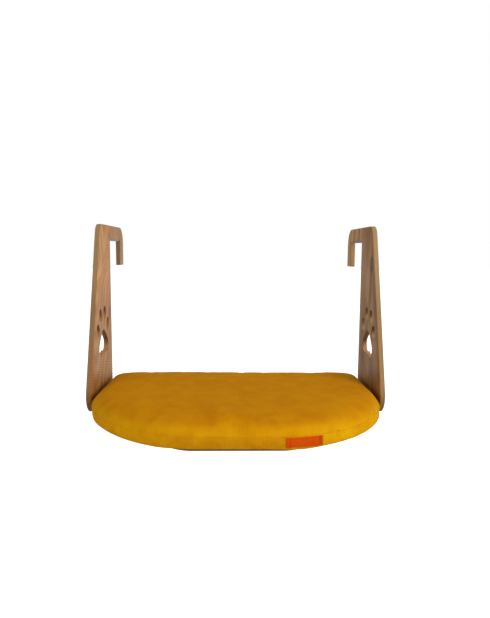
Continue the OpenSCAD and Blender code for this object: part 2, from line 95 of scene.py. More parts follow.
def calc(operation, *parts, clamp=False):
    settings = {"operation": operation, "use_clamp": clamp}
    return addNode(treeOf(parts), "Math", settings, dict(enumerate(parts))).outputs[0]


def vectorCalc(operation, *parts):
    return addNode(treeOf(parts), "VectorMath", {"operation": operation}, dict(enumerate(parts))).outputs


def scaled(colour, factor):
    return addNode(colour.id_data, "VectorMath", {"operation": "SCALE"}, {0: colour, "Scale": factor}).outputs[0]


def split(vector):
    return addNode(vector.id_data, "SeparateXYZ", None, {0: vector}).outputs


def mapRange(source, fromMin, fromMax, toMin=0.0, toMax=1.0, smooth=False):
    return addNode(source.id_data, "MapRange", {"interpolation_type": "SMOOTHSTEP" if smooth else "LINEAR"},
                   {"Value": source, "From Min": fromMin, "From Max": fromMax, "To Min": toMin,
                    "To Max": toMax}).outputs[0]


def mixValues(share, first, second):
    return addNode(treeOf((first, second)), "Mix", {"data_type": "FLOAT"}, {0: share, 2: first, 3: second}).outputs[0]


def mixColours(share, first, second, blend="MIX"):
    return addNode(share.id_data, "Mix", {"data_type": "RGBA", "blend_type": blend},
                   {0: share, 6: first, 7: second}).outputs[2]


def noiseAt(place, scale, detail, roughness=0.5, distortion=0.0, output="Fac"):
    return addNode(place.id_data, "TexNoise", None, {"Vector": place, "Scale": scale, "Detail": detail,
                                                     "Roughness": roughness, "Distortion": distortion}).outputs[output]


def waveAt(place, spacing, distortion=0.4, detail=2.0, detailScale=1.0, **settings):
    return addNode(place.id_data, "TexWave", settings, {"Vector": place, "Scale": math.pi / 10 / spacing,
                                                        "Distortion": distortion, "Detail": detail,
                                                        "Detail Scale": detailScale}).outputs["Fac"]


def moved(place, **values):
    return addNode(place.id_data, "Mapping", None, {"Vector": place, **values}).outputs[0]


def ramp(source, *stops):
    return addNode(source.id_data, "ValToRGB", None, {"Fac": source}, stops).outputs["Color"]


def painted(tree, name):  # what the mesh's own attribute says
    return addNode(tree, "Attribute", {"attribute_name": name}).outputs["Fac"]


def startMaterial(name, **values):
    material = bpy.data.materials.new(name)
    material.use_nodes = True
    tree = material.node_tree
    shader = tree.nodes["Principled BSDF"]
    for socket, value in values.items():
        shader.inputs[socket.replace("_", " ")].default_value = value
    space = addNode(tree, "TexCoord").outputs
    return material, shader, space["Object"], space["Normal"]


def finishMaterial(shader, colour, height, strength, depth):
    tree = shader.id_data
    tree.links.new(colour, shader.inputs["Base Color"])
    bump = addNode(tree, "Bump", None, {"Height": height, "Strength": strength, "Distance": depth})
    tree.links.new(bump.outputs[0], shader.inputs["Normal"])


# Boards: the colours are those of each board, which differ as two planks of one tree do. Places are Y, Z in mm.
boardLooks = {
    "left": {
        "pale": "#c89f68", "middle": "#b58655", "dark": "#946737", "blush": "#bb7b4d", "edge": "#896a44",
        "wallUp": "#a57c50", "wallDown": "#5a3b16",  # walls of the holes and of the hook, lit from above and shaded
        "arris": "#5b5040", "rim": "#8b785d",
        "sheen": 0.25, "dull": 0.02,  # gloss of the board, and of its foot
        "figure": 0.33, "plain": 0.66,  # how soft the figure is, and how little of it is rings
        # Tints, by the places that woodSizes gives them; those on the inner face by the cushion are painted shade and
        # painted orange bounce light
        "low": (0.82, 0.77, 0.65), "hook": (0.77, 0.83, 0.9), "foot": (0.84, 0.74, 0.58), "heel": (0.94, 0.87, 0.75),
        "contactShade": (0.7, 0.5, 0.28),
        "offset": (0.11, 0.043, 0.52),  # where in the log this board was sawn
        "tilt": (math.radians(3), math.radians(9), 0),  # slope of the log's heart to the board
        "swirl": (-20, -105, 75),  # from and to which height the grain swings over, and by how much
        "ripple": (-245, -285, 1),  # from and to which height cross bars show, and how strongly
        "knots": ((-3, 10, 16, 9, 0.35), (-19, -163, 9, 17, 0.8), (-14, -218, 8, 12, 0.35),  # half sizes, darkness
                  (2, -190, 9, 190, 0.45)),  # the last is a long oval that darkens the back edge
    },
    "right": {
        "pale": "#a37d47", "middle": "#8e6838", "dark": "#6d4d26", "blush": "#92663f", "edge": "#9a7b54",
        "wallUp": "#af8a60", "wallDown": "#654622", "arris": "#5d5240", "rim": "#8b785d",
        "sheen": 0.15, "dull": 0.02, "figure": 0.28, "plain": 0.6,
        "low": (0.86, 0.83, 0.75), "hook": (1.38, 1.4, 1.36), "foot": (1.32, 1.06, 0.6), "heel": (0.92, 0.8, 0.52),
        "contactShade": (0.74, 0.56, 0.34),
        "offset": (0.31, 0.078, 0.15),
        "tilt": (math.radians(1), math.radians(2.5), 0),
        "swirl": (-10, -60, 6),
        "ripple": (-250, -300, 0.1),
        "knots": ((-93, -48, 17, 21, 1), (-88, 5, 8, 45, 0.3), (95, 1, 5, 4, 0.6), (25, 20, 2.2, 24, 0.9),
                  (2, -190, 9, 190, 0.4)),
    },
    "panel": {
        # The panel's edges are drawn dark: painted shade under the cushion's overhang
        "pale": "#a67b4c", "middle": "#8d6338", "dark": "#6f4a26", "blush": "#8f5f38", "edge": "#6e4c1a",
        "wallUp": "#6e4c1a", "wallDown": "#6e4c1a", "arris": "#57401c", "rim": "#6e4c1a",
        "sheen": 0.25, "dull": 0.25, "figure": 0.35, "plain": 0.52,
        "low": (1, 1, 1), "hook": (1, 1, 1), "foot": (1, 1, 1), "heel": (1, 1, 1), "contactShade": (1, 1, 1),
        "offset": (0.05, 0.2, 0.31),
        "tilt": (0, math.radians(86), math.radians(3)),
        "swirl": (-10, -60, 0),
        "ripple": (-250, -300, 0.2),
        "knots": (),
    },
}
woodSizes = {
    "ring": 9 * mm,  # spacing of the growth rings
    "fibre": 0.9 * mm,  # width of the fine fibres, drawn coarse enough to show
    "pore": 0.7 * mm,
    "streak": 26 * mm,  # width of the broad colour changes
    "along": 0.07,  # how much slower everything changes along the grain
    "midTone": 0.47,  # the tone at which the wood has its middle colour
    "knot": "#4c4231",
    "bar": 5.4 * mm, "barAlong": 0.6, "barSlope": 0.2,  # spacing of the cross bars, how they waver and rise
    "barFades": (25, 15),  # over what height the bars come up below the holes and down to the foot
    "rim": (296.5 * mm, 299.5 * mm),  # an edge turns greyer towards a board's outer face
    "inner": (294 * mm, 291.5 * mm),  # where a board's inner face is told from its outer one
    "low": (-70, -150), "foot": (-270, -335), "heel": (-290, -335),  # heights between which a board darkens; the foot's tint is painted shade and painted orange bounce light from the cushion
    "hook": (-25, 10),  # depths between which the hook has its own tint
    "contactShade": (-305, -317),  # painted shade, tinted brown, where the cushion meets the inner face
    "hidden": (-329, -319),  # between these heights the painted shade and bounce light on the inner face end, as the cushion covers the wood
    "dulled": (-285 * mm, -312 * mm),  # where the gloss ends
    "holes": (-77, -195, 64, 82),  # an oval round the paw's holes: its place and half sizes
}


def ovalAround(place, oval, wander=None):  # how far a point is from an oval's middle, where 1 is its rim
    y, z, halfWidth, halfHeight = oval
    at = addNode(place.id_data, "Mapping", {"vector_type": "TEXTURE"},
                 {"Vector": place, "Location": (0, y * mm, z * mm),
                  "Scale": (1e6, halfWidth * mm, halfHeight * mm)}).outputs[0]
    if wander is not None:
        rough = vectorCalc("MULTIPLY_ADD", wander, (0, 0.9, 0.9), at)[0]
        at = vectorCalc("SUBTRACT", rough, (0, 0.45, 0.45))[0]
    return vectorCalc("LENGTH", at)["Value"]


def oiledOak(name, look):
    # oiled oak, planed, sanded and wiped with oil: warm satin streaks along the grain, short dark pores, duller edges
    material, shader, place, normal = startMaterial(name, Roughness=0.6, Specular_IOR_Level=0.25)
    tree, spot, facing = shader.id_data, split(place), split(normal)
    swingFrom, swingTo, swing = look["swirl"]
    swung = mapRange(spot["Z"], swingFrom * mm, swingTo * mm, 0, swing * mm, smooth=True)
    shift = addNode(tree, "CombineXYZ", None, {"Y": swung}).outputs[0]
    inLog = moved(vectorCalc("ADD", place, shift)[0], Location=look["offset"], Rotation=look["tilt"])
    slow = moved(inLog, Scale=(1, 1, woodSizes["along"]))
    wander = noiseAt(slow, 14, 3, output="Color")
    bent = vectorCalc("MULTIPLY_ADD", wander, (0.03, 0.03, 0), inLog)[0]
    rings = waveAt(bent, woodSizes["ring"], 1.2, 2, 0.6, wave_type="RINGS", rings_direction="Z")
    fibres = noiseAt(slow, 1 / woodSizes["fibre"] / 2, 4, 0.7)
    tone = mixValues(look["plain"], rings, noiseAt(slow, 1 / woodSizes["streak"], 3))
    midTone = woodSizes["midTone"]
    last = ramp(tone, (max(0, midTone - look["figure"]), toLinear(look["dark"])),
                (min(1, midTone + look["figure"]), toLinear(look["pale"])), (midTone, toLinear(look["middle"])))
    last = mixColours(mapRange(noiseAt(slow, 21, 1), 0.5, 0.68, 0, 0.75), last, toLinear(look["blush"]))
    # Pores: short dark dashes along the grain
    pores = mapRange(noiseAt(slow, 1 / woodSizes["pore"] / 2, 1), 0.66, 0.74, 0, 0.4)
    last = mixColours(pores, last, toLinear(look["dark"]))
    # Knots: a dark rim round a greyer middle
    for *oval, darkness in look["knots"]:
        knotted = ramp(ovalAround(place, oval, wander), (0.0, grey(0.45 * darkness)), (1.0, grey(0)),
                       (0.35, grey(0.6 * darkness)), (0.62, grey(darkness)))
        last = mixColours(knotted, last, toLinear(woodSizes["knot"]))
    # Faces that don't look along X are edges, where the wood is duller, and the walls of the holes and of the hook
    sideways = calc("ABSOLUTE", facing["X" if look["knots"] else "Z"])
    edge = mapRange(sideways, 0.95, 0.6, 0, 0.9)
    inHole = mapRange(ovalAround(place, woodSizes["holes"]), 1.05, 0.95)
    walled = calc("MAXIMUM", inHole, mapRange(spot["Y"], 1 * mm, 6 * mm))
    # Walls get painted light where they face up and painted shade where they face down
    wallColour = mixColours(mapRange(facing["Z"], -0.6, 0.8, smooth=True), toLinear(look["wallDown"]),
                            toLinear(look["wallUp"]))
    outward = calc("ABSOLUTE", spot["X"])
    edgeColour = mixColours(mapRange(outward, *woodSizes["rim"]), toLinear(look["edge"]), toLinear(look["rim"]))
    last = mixColours(edge, last, mixColours(walled, edgeColour, wallColour))
    # Cross bars on the faces, as where the trunk was under load
    barsFrom, barsTo, barStrength = look["ripple"]
    fadeIn, fadeOut = woodSizes["barFades"]
    across = calc("MULTIPLY", spot["Y"], woodSizes["barAlong"])
    rising = calc("MULTIPLY_ADD", spot["Y"], woodSizes["barSlope"], spot["Z"])
    stretched = addNode(tree, "CombineXYZ", None, {"Y": across, "Z": rising}).outputs[0]
    bars = mapRange(waveAt(stretched, woodSizes["bar"], 5, 1, 0.5, bands_direction="Z"), 0, 1, -0.18, 0.12)
    barsBelow = mapRange(spot["Z"], (barsFrom + fadeIn) * mm, barsFrom * mm, 0, barStrength, smooth=True)
    barsAbove = mapRange(spot["Z"], (barsTo - fadeOut) * mm, barsTo * mm, smooth=True)
    barred = calc("SUBTRACT", calc("MULTIPLY", barsBelow, barsAbove), edge, clamp=True)
    barTone = calc("MULTIPLY_ADD", bars, barred, 1.0)
    # Tints: a board is darker below, and its inner face has painted shade and painted orange bounce light where the
    # cushion meets it
    onFace = calc("SUBTRACT", mapRange(outward, *woodSizes["inner"]), edge, clamp=True)
    onFace = calc("MULTIPLY", onFace, mapRange(spot["Z"], *(z * mm for z in woodSizes["hidden"])))
    for area, axis, where in (("low", "Z", 1), ("hook", "Y", 1), ("foot", "Z", onFace), ("heel", "Z", edge),
                              ("contactShade", "Z", onFace)):
        at = mapRange(spot[axis], *(start * mm for start in woodSizes[area]), smooth=True)
        last = mixColours(calc("MULTIPLY", at, where), last, (*look[area], 1), "MULTIPLY")
    last = scaled(last, calc("MULTIPLY", mapRange(fibres, 0.3, 0.7, 0.9, 1.06), barTone))
    # Arrises, drawn darker and greyer
    slanted = calc("ABSOLUTE", calc("SUBTRACT", sideways, 0.7))
    last = mixColours(mapRange(slanted, 0, 0.29, 0.85, 0), last, toLinear(look["arris"]))
    tree.links.new(mapRange(fibres, 0.3, 0.7, 0.66, 0.5), shader.inputs["Roughness"])
    sheen = mapRange(spot["Z"], *woodSizes["dulled"], look["sheen"], look["dull"])
    tree.links.new(sheen, shader.inputs["Specular IOR Level"])
    finishMaterial(shader, last, calc("SUBTRACT", fibres, pores), 0.35, 0.12 * mm)
    return material


cordLook = {
    "crest": "#ca8f06", "valley": "#b07905", "worn": "#af7204", "sunned": "#c1930a", "rib": 2.6 * mm,
    "topShade": (0.835, 0.733, 1, 1),  # painted shade: what the colour is multiplied by on the flat top
    "band": (0.91, 0.86, 1.2, 1),  # painted shade on the band where it faces forward
    "left": (1.11, 1.08, 1, 1), "right": (1.15, 1.3, 1, 1),  # and painted light where it is turned to a side
    "shoulderShade": (0.2, 0.12, 0.1, 1),  # and painted shade where the shoulders press against the hangers
    "shoulderShadeX": (274 * mm, 288 * mm), "shoulderShadeY": (-215 * mm, -200 * mm),
    "depth": 0.2 * mm, "fibre": 0.35 * mm, "patch": 28 * mm, "sunnedPatch": 50 * mm,
}


def needlecord(name, look):
    # cotton needlecord, woven with fine cut ribs: soft lines, a matt nap that turns lighter and darker in patches
    material, shader, place, normal = startMaterial(name, Roughness=0.95, Specular_IOR_Level=0.02, Sheen_Weight=0.2,
                                                    Sheen_Roughness=0.45, Sheen_Tint=toLinear("#ffb020"))
    tree, spot, facing = shader.id_data, split(place), split(normal)
    cloth = addNode(tree, "UVMap", {"uv_map": "cloth"}).outputs[0]
    rounded = calc("POWER", waveAt(cloth, look["rib"], 0.7, 1, 0.5), 0.55)
    fluff = noiseAt(place, 1 / look["fibre"] / 2, 3, 0.7)
    last = mixColours(rounded, toLinear(look["valley"]), toLinear(look["crest"]))
    sunned = mapRange(noiseAt(cloth, 1 / look["sunnedPatch"], 4, 0.6), 0.42, 0.68, 0, 0.5)
    last = mixColours(sunned, last, toLinear(look["sunned"]))
    nap = mapRange(noiseAt(place, 1 / look["patch"], 3, 0.55), 0.38, 0.68, 0, 0.6)
    last = mixColours(nap, last, toLinear(look["worn"]))
    # How much of each painted shade and painted light a point gets: on the flat top, on the front of the band, turned
    # to either side, and where the shoulders press against the hangers
    up, aside = calc("ABSOLUTE", facing["Z"]), calc("ABSOLUTE", facing["X"])
    shares = {"topShade": mapRange(up, 0.48, 0.9, smooth=True),
              "band": calc("MULTIPLY", mapRange(aside, 0.32, 0.12), painted(tree, "band"))}
    upright = mapRange(up, 0.5, 0.2)
    for side, turn in (("left", -1), ("right", 1)):
        shares[side] = calc("MULTIPLY", mapRange(facing["X"], turn * 0.22, turn * 0.55), upright)
    # Painted shade where the shoulders press against the hangers
    shares["shoulderShade"] = calc("MULTIPLY", mapRange(calc("ABSOLUTE", spot["X"]), *look["shoulderShadeX"]),
                            mapRange(spot["Y"], *look["shoulderShadeY"]))
    for part, share in shares.items():
        last = mixColours(share, last, look[part], "MULTIPLY")
    crease = mapRange(painted(tree, "seam"), 0.35, 1, 1, 0.93)
    last = scaled(last, calc("MULTIPLY", crease, mapRange(fluff, 0.25, 0.75, 0.86, 1.12)))
    finishMaterial(shader, last, calc("MULTIPLY_ADD", fluff, 0.2, rounded), 0.8, look["depth"])
    return material


def wovenTape(name, pale, dark, thread, shadedFolds=False, gloss=0.12):
    # polyester tape, woven flat: a tight crosswise weave with a slight gloss; on a label, painted shade along its folds
    # and over its folded end
    material, shader, place, _ = startMaterial(name, Roughness=0.8, Specular_IOR_Level=gloss)
    weave = calc("MULTIPLY", waveAt(place, thread), waveAt(place, thread, bands_direction="Z"))
    last = mixColours(mixValues(0.45, weave, noiseAt(place, 160, 3)), toLinear(dark), toLinear(pale))
    if shadedFolds:
        # Painted shade along the folds and over the folded end
        last = scaled(last, mapRange(painted(shader.id_data, "seam"), 0, 1, 1, 0.55))
    finishMaterial(shader, last, weave, 0.6, 0.12 * mm)
    return material


def pressedFelt(name):
    # wool felt, pressed: matt, with matted fibres in several greys
    material, shader, place, _ = startMaterial(name, Roughness=0.97, Specular_IOR_Level=0.1, Sheen_Weight=0.3)
    fibres = noiseAt(place, 900, 5, 0.75, 1.5)
    finishMaterial(shader, ramp(fibres, (0.3, toLinear("#5e5b63")), (0.7, toLinear("#9c99a2"))), fibres, 0.9, 0.3 * mm)
    return material


def platedMetal(name, bright, dull, roughness, grain):
    # plated metal: even and cool, cloudy where it was handled, with fine turning marks
    material, shader, place, _ = startMaterial(name, Metallic=1.0, Roughness=roughness)
    clouds, marks = noiseAt(place, 420, 3), noiseAt(place, 1 / grain, 2)
    rough = mapRange(marks, 0, 1, roughness - 0.1, roughness + 0.12)
    shader.id_data.links.new(rough, shader.inputs["Roughness"])
    finishMaterial(shader, mixColours(clouds, toLinear(dull), toLinear(bright)), marks, 0.25, 0.03 * mm)
    return material


def rawBeech(name):
    # beech dowel, turned and left raw: pale pinkish wood with tiny darker flecks along it
    material, shader, place, _ = startMaterial(name, Roughness=0.75, Specular_IOR_Level=0.25)
    flecks = noiseAt(moved(place, Scale=(120, 1500, 1500)), 1, 3)
    finishMaterial(shader, ramp(flecks, (0.3, toLinear("#b78a5c")), (0.6, toLinear("#dcbb8d"))), flecks, 0.4, 0.08 * mm)
    return material


def nylonCoil(name):
    # nylon coil, extruded and dyed: smooth plastic with a soft gloss, slightly uneven in colour
    material, shader, place, _ = startMaterial(name, Roughness=0.38, Specular_IOR_Level=0.5)
    dye = noiseAt(place, 300, 2)
    finishMaterial(shader, mixColours(dye, toLinear("#a86f0c"), toLinear("#cf9422")), dye, 0.2, 0.05 * mm)
    return material


woodLeft = oiledOak("oiledOakLeft", boardLooks["left"])
woodRight = oiledOak("oiledOakRight", boardLooks["right"])
woodPanel = oiledOak("oiledOakPanel", boardLooks["panel"])
coverCord = needlecord("cottonNeedlecord", cordLook)
labelTape = wovenTape("wovenLabelTape", "#cf5206", "#ae3c02", 0.6 * mm, shadedFolds=True, gloss=0.03)
zipTape = wovenTape("wovenZipTape", "#cf9018", "#9c6408", 0.7 * mm)
sewingThread = wovenTape("polyesterThread", "#dba032", "#b87a14", 0.25 * mm)
hookFelt = pressedFelt("pressedWoolFelt")
zincSteel = platedMetal("zincPlatedSteel", "#c9ccd0", "#a3a6aa", 0.34, 0.5 * mm)
agedBrass = platedMetal("agedBrassPlate", "#d9b566", "#97753a", 0.36, 0.4 * mm)
beech = rawBeech("rawBeech")
coilNylon = nylonCoil("dyedNylon")
print("materials made")


def finishPiece(form, name, material, body, stands=(), sharpAt=40):
    mesh = bpy.data.meshes.new(name)
    form.to_mesh(mesh)
    form.free()
    if "custom_normal" in mesh.attributes:  # a CAD copy brings the old facets' normals
        mesh.attributes.remove(mesh.attributes["custom_normal"])
    mesh.materials.clear()
    mesh.materials.append(material)
    mesh.shade_smooth()
    mesh.set_sharp_from_angle(angle=math.radians(sharpAt))
    piece = bpy.data.objects.new(name, mesh)
    bpy.context.scene.collection.objects.link(piece)
    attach(piece, body)
    if stands:
        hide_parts(*stands)
    return piece


def copyNode(node):  # a CAD node's mesh with its loose triangles merged
    form = bmesh.new()
    form.from_mesh(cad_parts[node].data)
    bmesh.ops.remove_doubles(form, verts=form.verts, dist=0.002 * mm)
    bmesh.ops.dissolve_limit(form, angle_limit=math.radians(0.4), verts=form.verts, edges=form.edges)
    return form


def edgeRuns(edges):  # groups of edges that join end to end
    left, runs = set(edges), []
    while left:
        run, reach = [], [left.pop()]
        while reach:
            edge = reach.pop()
            run.append(edge)
            for vert in edge.verts:
                near = [e for e in vert.link_edges if e in left]
                left.difference_update(near)
                reach.extend(near)
        runs.append(run)
    return runs


def softenEdges(form, width, segments, leastRun=0.0, angle=50):  # rounds sharp edges, but not those of small holes
    sharp = [e for e in form.edges if len(e.link_faces) == 2 and e.calc_face_angle(0) > math.radians(angle)]
    chosen = []
    for run in edgeRuns(sharp):
        places = [v.co for e in run for v in e.verts]
        spread = max(max(p[k] for p in places) - min(p[k] for p in places) for k in range(3))
        if spread > leastRun:
            chosen.extend(run)
    bmesh.ops.bevel(form, geom=chosen, offset=width, segments=segments, profile=0.5, affect="EDGES", material=-1,
                    clamp_overlap=True)


def cornersOf(part):
    return sorted(vert.index for vert in part.verts)


def sortForm(form):  # one order for every run, as the tools leave another each time, and the solver's sums follow it
    for parts, key in ((form.verts, lambda vert: vert.co[:]), (form.edges, cornersOf), (form.faces, cornersOf)):
        ranks = {part: rank for rank, part in enumerate(sorted(parts, key=key))}
        parts.sort(key=ranks.get)
        parts.index_update()


def dressNode(node, name, material, body, width, steps=2, leastRun=0.0, angles=(50, 40)):
    # A CAD node with its edges softened: those over the first angle are rounded, those over the second look sharp
    form = copyNode(node)
    softenEdges(form, width, steps, leastRun, angles[0])
    finishPiece(form, name, material, body, [node], angles[1])


# Hangers and base panel: the CAD boards with their arrises sanded round
arrisLook = {"board": 1.2 * mm, "panel": 1.5 * mm, "steps": 3, "holes": 12 * mm}
for side, wood in (("left", woodLeft), ("right", woodRight)):
    dressNode("hanger_" + side, "hanger_" + side + "_sanded", wood, "frame", arrisLook["board"],
              arrisLook["steps"], arrisLook["holes"])
dressNode("base_panel", "base_panel_sanded", woodPanel, "frame", arrisLook["panel"], arrisLook["steps"],
          arrisLook["holes"])
print("boards made")

# Hook pads: felt strips with soft edges. Fasteners: the CAD shapes with their edges broken.
smallLook = {"felt": 0.7 * mm, "metal": 0.2 * mm, "metalAngles": (40, 30)}
for side in ("left", "right"):
    dressNode("hook_pad_" + side, "felt_pad_" + side, hookFelt, "frame", smallLook["felt"])
for side in ("left", "right"):
    for node, name in (("connector_bolts_", "bolts_"), ("barrel_nuts_", "nuts_")):
        dressNode(node + side, name + side, zincSteel, "frame", smallLook["metal"],
                  angles=smallLook["metalAngles"])
    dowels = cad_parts["dowels_" + side].data
    dowels.materials.clear()
    dowels.materials.append(beech)
print("pads and fasteners made")

# Cushion: a grid of cloth squares on the cover's outline, blown up softly against its seams
bandLow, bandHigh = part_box("cover_band")
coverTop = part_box("cover_top")[1].z
zipTop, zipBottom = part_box("zip_tape_upper"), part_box("zip_tape_lower")
cushionLook = {
    "flatFront": 60 * mm,  # half of the straight middle of the front
    "frontCurve": 233 * mm,  # depth of the rounded front
    "backCorner": 35 * mm,
    "frontSteps": 56, "sideSteps": 52, "cornerSteps": 13, "zipSteps": 43,  # cloth squares along half the outline
    "rows": 6,  # cloth squares up the band
    "seamIn": 3 * mm, "seamInLow": 1.2 * mm,  # how far the seams stand in from the fullest line of the band
    "sideDraw": 0.6 * mm,  # how far the straight sides are drawn in
    "sidePress": 6 * mm, "sideSink": (2.6 * mm, 5.4 * mm),  # how far the shoulders press against the hangers and sink
    "pressEnd": 1.45, "pressFades": (5, 7),  # where the press ends and how fast it comes and goes, in straight sides
    "pressAbove": 0.3, "lowPress": 0.25,  # from which share of the band's height, and how much of it in the lower half
    "pressReach": 14 * mm, "insetReach": 14 * mm,  # how far in from the outline the press and the insets reach
    "droops": ((105, 40, 2.6), (-125, 35, 1.2), (-245, 48, -2.8), (255, 45, -1.8)),  # place, half width, depth in mm
    "droopOver": 9 * mm,  # overhang past the panel's edge at which the rim hangs freely
    "crownReach": 190 * mm, "crownPower": 11,  # the higher the power, the fuller the shoulder
    "crownShare": 0.92,  # how much of the height it keeps when lain on
    "spare": 0.012,  # how much larger the cloth is cut than the foam
    "pressure": 0.8, "cap": 2 * mm, "frames": 20,
    "groove": 0.8 * mm, "grooveDepth": 0.4 * mm,
    "sideRoom": 0.5 * mm,  # kept free to the hangers
    "unevenness": 0.25 * mm,
    "dent": 1.2 * mm, "dentWaves": 8.5, "foldWaves": (21, 15), "foldShare": 0.35,  # slow hollows of a slept-on top
    "pucker": 1.1 * mm,  # slanting folds where the band is gathered onto its seams
    "puckerWaves": (38, 12), "puckerSlant": 0.8,
    "zipInset": 0.3 * mm, "zipRoom": 0.4 * mm,  # the recess for the zip, deep enough for the slider's back plate
    "flatFrom": 0.72,  # how upright a face's normal is where the ribs run front to back
}


def coverOutline(look):  # closed run of points, anticlockwise from the middle of the front
    halfWidth, front, back = bandHigh.x, -bandLow.y, -bandHigh.y
    corner, flat, curve = look["backCorner"], look["flatFront"], look["frontCurve"]
    reach = halfWidth - flat
    fine = [Vector((0, -front))]
    for k in range(181):
        angle = math.pi / 2 * k / 180
        fine.append(Vector((flat + reach * math.sin(angle), -front + curve * (1 - math.cos(angle)))))
    for k in range(31):
        angle = math.pi / 2 * k / 30
        fine.append(Vector((halfWidth - corner + corner * math.cos(angle), -back - corner + corner * math.sin(angle))))
    fine.append(Vector((0, -back)))
    lengths = [0.0]
    for start, end in zip(fine, fine[1:]):
        lengths.append(lengths[-1] + (end - start).length)
    zipAt = lengths[-1] - zipTop[1].x
    cornerAt = lengths[-1] - (halfWidth - corner) - corner * math.pi / 4
    evenSteps = look["frontSteps"] + look["sideSteps"]
    stops = [cornerAt * k / evenSteps for k in range(evenSteps)]
    stops += [cornerAt + (zipAt - cornerAt) * k / look["cornerSteps"] for k in range(look["cornerSteps"])]
    stops += [zipAt + (lengths[-1] - zipAt) * k / look["zipSteps"] for k in range(look["zipSteps"] + 1)]
    right, k = [], 0
    for stop in stops:
        while k < len(fine) - 2 and lengths[k + 1] < stop:
            k += 1
        share = (stop - lengths[k]) / (lengths[k + 1] - lengths[k])
        right.append(fine[k].lerp(fine[k + 1], min(1, share)))
    return right + [Vector((-p.x, p.y)) for p in reversed(right[1:-1])]


def ringInset(share, look):  # the band's fullest line is at half its height
    return look["seamIn" if share > 0.5 else "seamInLow"] * (2 * share - 1) ** 2


def depthInside(place):  # how far a point of the top is from the seam, less near the rounded back corners
    fromSide, fromBack = bandHigh.x - abs(place.x), bandHigh.y - place.y
    return max(0.0, fromSide * fromBack / math.hypot(fromSide, fromBack))


def sewCushion(look):
    points = coverOutline(look)
    count = len(points)
    outward = []
    for k in range(count):
        along = (points[(k + 1) % count] - points[k - 1]).normalized()
        outward.append(Vector((along.y, -along.x)))
    nearest = KDTree(count)
    for k, point in enumerate(points):
        nearest.insert((point.x, point.y, 0), k)
    nearest.balance()
    form = bmesh.new()
    rim = [form.verts.new((p.x, p.y, bandLow.z)) for p in points]
    edges = [form.edges.new((rim[k], rim[(k + 1) % count])) for k in range(count)]
    frontCorner, backCorner = look["frontSteps"], look["frontSteps"] + look["sideSteps"]
    rails = edges[-frontCorner:] + edges[:frontCorner] + edges[backCorner:count - backCorner]
    bmesh.ops.grid_fill(form, edges=rails, use_smooth=True)
    lifted = bmesh.ops.extrude_face_region(form, geom=form.faces[:])
    bandHeight = bandHigh.z - bandLow.z
    bmesh.ops.translate(form, verts=[g for g in lifted["geom"] if isinstance(g, bmesh.types.BMVert)],
                        vec=(0, 0, bandHeight))
    upright = [e for e in form.edges if abs(e.verts[0].co.z - e.verts[1].co.z) > bandHeight / 2]
    bmesh.ops.subdivide_edges(form, edges=upright, cuts=look["rows"] - 1, use_grid_fill=True)
    bmesh.ops.recalc_face_normals(form, faces=form.faces)
    zipShare = (zipBottom[0].z - bandLow.z) / bandHeight
    shares = [0, zipShare] + [zipShare + (1 - 2 * zipShare) * k / 4 for k in (1, 2, 3)] + [1 - zipShare, 1]
    sideTop, sideEnd = -bandLow.y - look["frontCurve"], -bandHigh.y + look["backCorner"]
    fadeIn, fadeOut = look["pressFades"]
    station = form.verts.layers.int.new("station")
    row = form.verts.layers.int.new("row")
    for vert in form.verts:
        _, k, away = nearest.find((vert.co.x, vert.co.y, 0))
        inward = max(0.0, (points[k] - vert.co.xy).dot(outward[k]))
        vert[station] = k
        level = round((vert.co.z - bandLow.z) / bandHeight * look["rows"])
        vert[row] = level if away < 0.01 * mm else (-1 if level == 0 else -2)  # -1 is the bottom, -2 the top
        share = shares[level]
        t = (-vert.co.y - sideEnd) / (sideTop - sideEnd)  # 0 to 1 along a straight side, from its back end
        drawn = look["sideDraw"] * 4 * t * (1 - t) if 0 < t < 1 else 0
        inset = (ringInset(share, look) + drawn) * math.exp(-inward / look["insetReach"])
        vert.co.x -= outward[k].x * inset
        vert.co.y -= outward[k].y * inset
        vert.co.z = bandLow.z + bandHeight * share
        if 0 < t < look["pressEnd"] and share > look["pressAbove"]:
            beside = min(1, fadeIn * t, fadeOut * (look["pressEnd"] - t))
            beside *= math.exp(-(inward / look["pressReach"]) ** 2)
            vert.co.x += math.copysign(look["sidePress"] * beside * (1 if share > 0.5 else look["lowPress"]), vert.co.x)
            vert.co.z -= look["sideSink"][vert.co.x > 0] * beside * share ** 2
        if vert[row] == -2:
            near = min(1, min(inward, depthInside(vert.co)) / look["crownReach"])
            vert.co.z += look["crownShare"] * (coverTop - bandHigh.z) * (1 - (1 - near) ** look["crownPower"])
            vert.co.z += look["unevenness"] * noise.noise(Vector((vert.co.x * 60, vert.co.y * 60, 3.1)))
    inner = [v for v in form.verts if v[row] == -2]
    for _ in range(2):
        bmesh.ops.smooth_vert(form, verts=inner, factor=0.5, use_axis_z=True)
    sortForm(form)
    return form, points, outward


